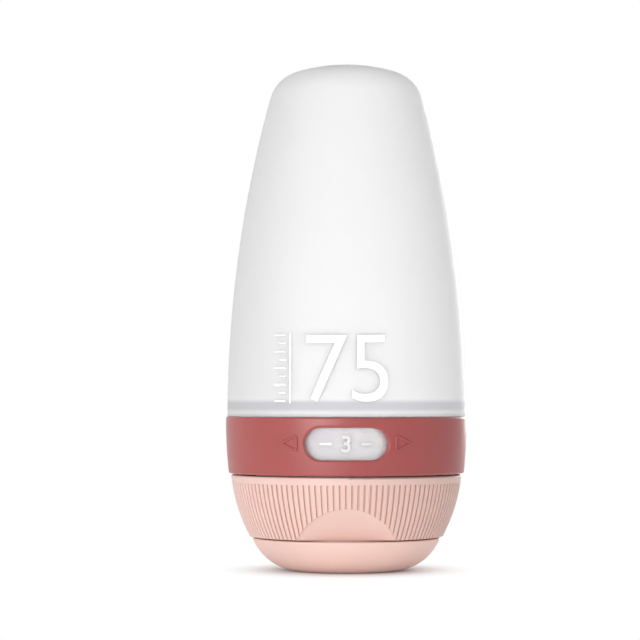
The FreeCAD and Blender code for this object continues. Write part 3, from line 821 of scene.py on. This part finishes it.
def makeStopper():
    foot, top = rise["lid_plug"]
    radius, tip, taper = stopper["radius"], stopper["tip"], stopper["tipTaper"]
    shoulder = top - stopper["tipRise"]
    socket = foot + stopper["postHeight"]
    corners = [(radius, foot), (radius, shoulder), (tip + taper, shoulder), (tip - taper, top)]
    outline = rounded(corners, stopper["edge"])
    outline += [(0, top), (0, socket), (stopper["post"], socket), (stopper["post"], foot)]
    finishPiece("lidStopper", lathe(outline, sealSteps), sealSilicone, "lid",
                ["lid_plug"])


makeStopper()
print("seals made")

# Stage, light and camera


# 1 for the rays that show a surface by itself, 0 for those that carry its light to the object
def seenRays(tree):
    rays = addNode(tree, "LightPath").outputs
    seen = rays["Is Camera Ray"]
    for kind in ("Is Glossy Ray", "Is Transmission Ray"):
        seen = addNode(tree, "Math", {0: seen, 1: rays[kind]}, operation="MAXIMUM").outputs[0]
    return seen


# a matt floor that keeps the shadow near the object and is seen as white further out
stageLook = {
    "floorRadius": 900.0,
    "floorSteps": 96,
    "shadowNear": 9.0,
    "shadowFar": 28.0,
    "floor": "#fbfafa",
}


def makeFloorMaterial():
    material, tree = emptyMaterial("paleFloor")
    place = addNode(tree, "TexCoord").outputs["Object"]
    reach = addNode(tree, "VectorMath", {0: place}, operation="LENGTH")
    opened = addNode(tree, "MapRange", {
        "Value": reach.outputs["Value"],
        "From Min": stageLook["shadowNear"] * mm,
        "From Max": stageLook["shadowFar"] * mm,
    }, interpolation_type="SMOOTHSTEP")
    share = addNode(tree, "Math", {0: seenRays(tree), 1: opened.outputs["Result"]}, operation="MULTIPLY")
    matt = addNode(tree, "BsdfDiffuse", {"Color": linear(stageLook["floor"])})
    white = addNode(tree, "Emission", {"Color": (1, 1, 1, 1), "Strength": 1.0})
    mixed = addNode(tree, "MixShader", {0: share.outputs[0], 1: matt.outputs[0], 2: white.outputs[0]})
    addNode(tree, "OutputMaterial", {"Surface": mixed.outputs[0]})
    return material


def makeStage():
    build = bmesh.new()
    bmesh.ops.create_circle(build, cap_ends=True, segments=stageLook["floorSteps"],
                            radius=stageLook["floorRadius"] * mm)
    mesh = bpy.data.meshes.new("floor")
    build.to_mesh(mesh)
    build.free()
    mesh.materials.append(makeFloorMaterial())
    floor = bpy.data.objects.new("floor", mesh)
    bpy.context.scene.collection.objects.link(floor)


makeStage()

milkyPieces = ("siliconeBottle", "sizeNumber", "scaleRule")
studio = {
    "skyStrength": 0.35,
    "lamps": {
        # name: place, aim, width and height in mm, watts, the pieces that it lights (none named: all)
        "keyLight": ((-310, -665, 45), (0, 0, 40), 420, 90, 2.45, ()),
        "topLight": ((0, 60, 640), (0, 0, 60), 500, 500, 0.65, ()),
        "tableLight": ((0, -60, 620), (0, 0, 0), 500, 500, 1.4, ("floor",)),
        "backLight": ((120, 640, 120), (0, 0, 50), 420, 200, 1.9, ()),
        # a low one that stands for the light thrown back by a wide pale table
        "lidFill": ((400, -500, 12), (0, 0, 2), 420, 40, 0.75, ("flip_lid",)),
        # two that stand for the light that the milky wall carries round to its far sides
        "wallGlowRight": ((430, -560, 50), (0, 0, 60), 300, 160, 2.2, milkyPieces),
        "wallGlowLeft": ((-635, -296, 50), (0, 0, 60), 300, 160, 0.5, milkyPieces),
    },
}


def makeSky():
    world = bpy.data.worlds.new("studioSky")
    bpy.context.scene.world = world
    world.use_nodes = True
    tree = world.node_tree
    tree.nodes.clear()
    level = addNode(tree, "MapRange", {
        "Value": seenRays(tree), "To Min": studio["skyStrength"], "To Max": 1.0})
    sky = addNode(tree, "Background", {"Color": (1, 1, 1, 1), "Strength": level.outputs["Result"]})
    addNode(tree, "OutputWorld", {"Surface": sky.outputs[0]})


def makeLamps():
    for name, (place, aim, width, height, watts, lit) in studio["lamps"].items():
        lamp = bpy.data.lights.new(name, "AREA")
        lamp.shape = "RECTANGLE"
        lamp.size = width * mm
        lamp.size_y = height * mm
        lamp.energy = watts
        holder = bpy.data.objects.new(name, lamp)
        holder.location = Vector(place) * mm
        holder.rotation_euler = (Vector(aim) - Vector(place)).to_track_quat("-Z", "Y").to_euler()
        bpy.context.scene.collection.objects.link(holder)
        if lit:
            receivers = bpy.data.collections.new(name)
            for piece in lit:
                receivers.objects.link(bpy.data.objects[piece])
            holder.light_linking.receiver_collection = receivers


makeSky()
makeLamps()

view = {
    "distance": 500.0,
    "height": 35.25,
    "focalPixels": 2400.0,  # in the 640 pixel frame
    "frame": 640.0,
    "sensor": 36.0,
    "axisRight": 26.2,  # pixels from the frame's middle to the bottle's axis
    "horizonDown": 79.9,  # pixels from the frame's middle down to eye level
}


def makeCamera():
    lens = bpy.data.cameras.new("camera")
    lens.sensor_width = view["sensor"]
    lens.lens = view["focalPixels"] / view["frame"] * view["sensor"]
    camera = bpy.data.objects.new("camera", lens)
    camera.location = Vector((0, -view["distance"], view["height"])) * mm
    pitch = math.atan(view["horizonDown"] / view["focalPixels"])
    yaw = math.atan(view["axisRight"] / view["focalPixels"])
    camera.rotation_euler = (math.pi / 2 + pitch, 0, yaw)
    bpy.context.scene.collection.objects.link(camera)
    bpy.context.scene.camera = camera


makeCamera()
bpy.context.scene.view_settings.view_transform = "Standard"
print("stage, light and camera set")
